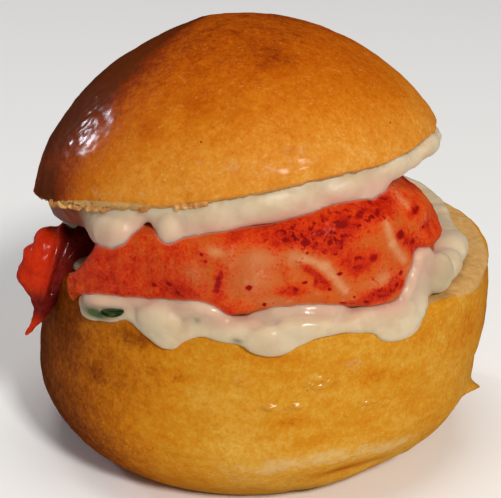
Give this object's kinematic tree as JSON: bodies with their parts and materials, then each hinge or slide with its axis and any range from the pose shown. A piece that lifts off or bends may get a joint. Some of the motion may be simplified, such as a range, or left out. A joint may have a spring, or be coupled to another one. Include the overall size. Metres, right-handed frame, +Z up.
{
  "type": "lobster slider",
  "caption": "Small round sandwich: a split golden roll holding lobster claw meat between layers of mayonnaise.",
  "frame": {"origin": "centre of the flat underside of the roll's lower half", "axes": "+Z up from the flat underside, -Y towards the open front of the sandwich, +X to the right seen from the front"},
  "size_m": [0.0673, 0.0662, 0.0629],
  "materials": {
    "heel_crust": "baked golden crust with a soft sheen",
    "crown_crust": "egg-washed brown crust with a satin shine",
    "cream": "wet and glossy",
    "claw_meat": "moist, red over salmon flesh",
    "knuckle_meat": "moist, dark red"
  },
  "bodies": {
    "root": {"heel": "heel_crust", "crown": "crown_crust", "cream_base": "cream", "cream_top": "cream", "lobster_claw": "claw_meat", "lobster_knuckle": "knuckle_meat"}
  },
  "joints": []
}
